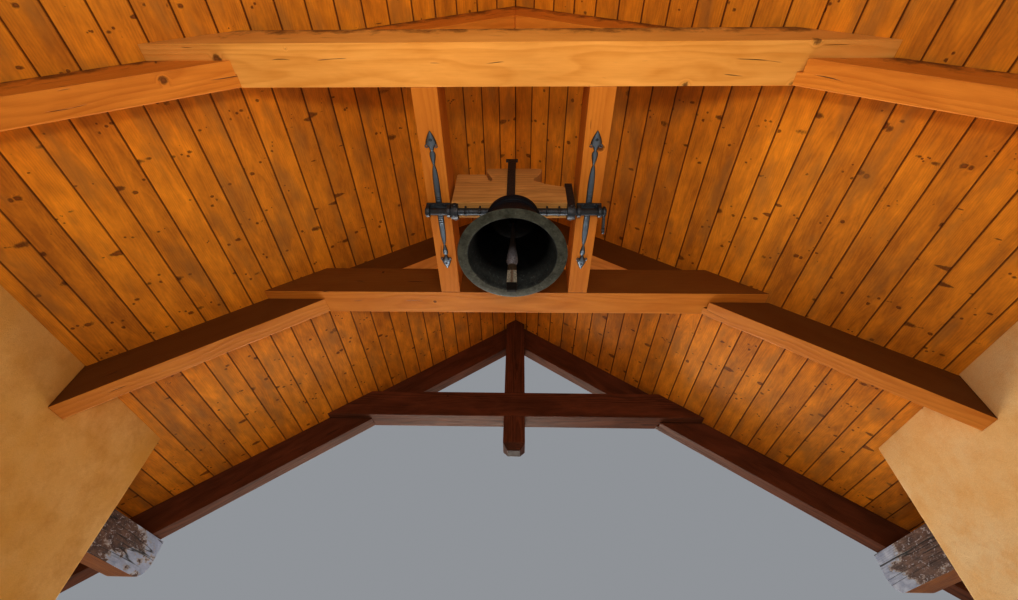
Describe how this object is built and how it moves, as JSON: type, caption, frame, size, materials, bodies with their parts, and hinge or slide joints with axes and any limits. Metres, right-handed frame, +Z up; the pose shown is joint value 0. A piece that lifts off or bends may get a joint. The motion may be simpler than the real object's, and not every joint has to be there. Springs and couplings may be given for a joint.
{
  "type": "timber bell canopy",
  "caption": "Open gabled timber canopy on rendered walls, with collar trusses, a boarded soffit and a small swinging bell.",
  "frame": {"origin": "on the ground in the middle of the canopy, straight under the bell", "axes": "+X across the canopy to the right-hand wall, +Y along it to the front gable, +Z up"},
  "size_m": [5.75, 4.07, 4.4965],
  "materials": {
    "render": "matt ochre lime render",
    "honey_timber": "stained softwood, satin",
    "dark_timber": "weathered dark stained softwood",
    "soffit_boards": "varnished softwood boards",
    "painted_timber": "weathered timber, peeling paint",
    "verge_timber": "stained softwood, satin",
    "yoke_timber": "old oiled oak",
    "wrought_iron": "blackened wrought iron",
    "bell_bronze": "dark bell bronze",
    "roof_tiles": "plain clay tiles"
  },
  "bodies": {
    "canopy": {"wall_left": "render", "wall_plate_left": "painted_timber", "boarding_left": "soffit_boards", "roofing_left": "roof_tiles", "bearer_left": "honey_timber", "strap_left": "wrought_iron", "bearing_left": "wrought_iron", "rafter_left_1": "dark_timber", "rafter_left_2": "honey_timber", "rafter_left_3": "honey_timber", "rafter_left_4": "dark_timber", "verge_board_left_rear": "verge_timber", "verge_board_left_front": "verge_timber", "wall_right": "render", "wall_plate_right": "painted_timber", "boarding_right": "soffit_boards", "roofing_right": "roof_tiles", "bearer_right": "honey_timber", "strap_right": "wrought_iron", "bearing_right": "wrought_iron", "rafter_right_1": "dark_timber", "rafter_right_2": "honey_timber", "rafter_right_3": "honey_timber", "rafter_right_4": "dark_timber", "verge_board_right_rear": "verge_timber", "verge_board_right_front": "verge_timber", "collar_1": "dark_timber", "collar_2": "honey_timber", "collar_3": "honey_timber", "collar_4": "dark_timber", "king_post_1": "dark_timber", "king_post_4": "dark_timber", "ridge_tiles": "roof_tiles"},
    "bell": {"yoke": "yoke_timber", "gudgeon_left": "wrought_iron", "gudgeon_right": "wrought_iron", "hanger_rear": "wrought_iron", "hanger_front": "wrought_iron", "rope_lever": "wrought_iron", "bell": "bell_bronze"},
    "clapper": {"clapper": "wrought_iron"}
  },
  "joints": [
    {"name": "bell_swing", "type": "hinge", "parent": "canopy", "child": "bell", "pos_m": [0, 0, 3.365], "axis": [1, 0, 0], "range_deg": [-45, 45]},
    {"name": "clapper_swing", "type": "hinge", "parent": "bell", "child": "clapper", "pos_m": [0, 0, 3.269], "axis": [1, 0, 0], "range_deg": [-34, 34]}
  ]
}
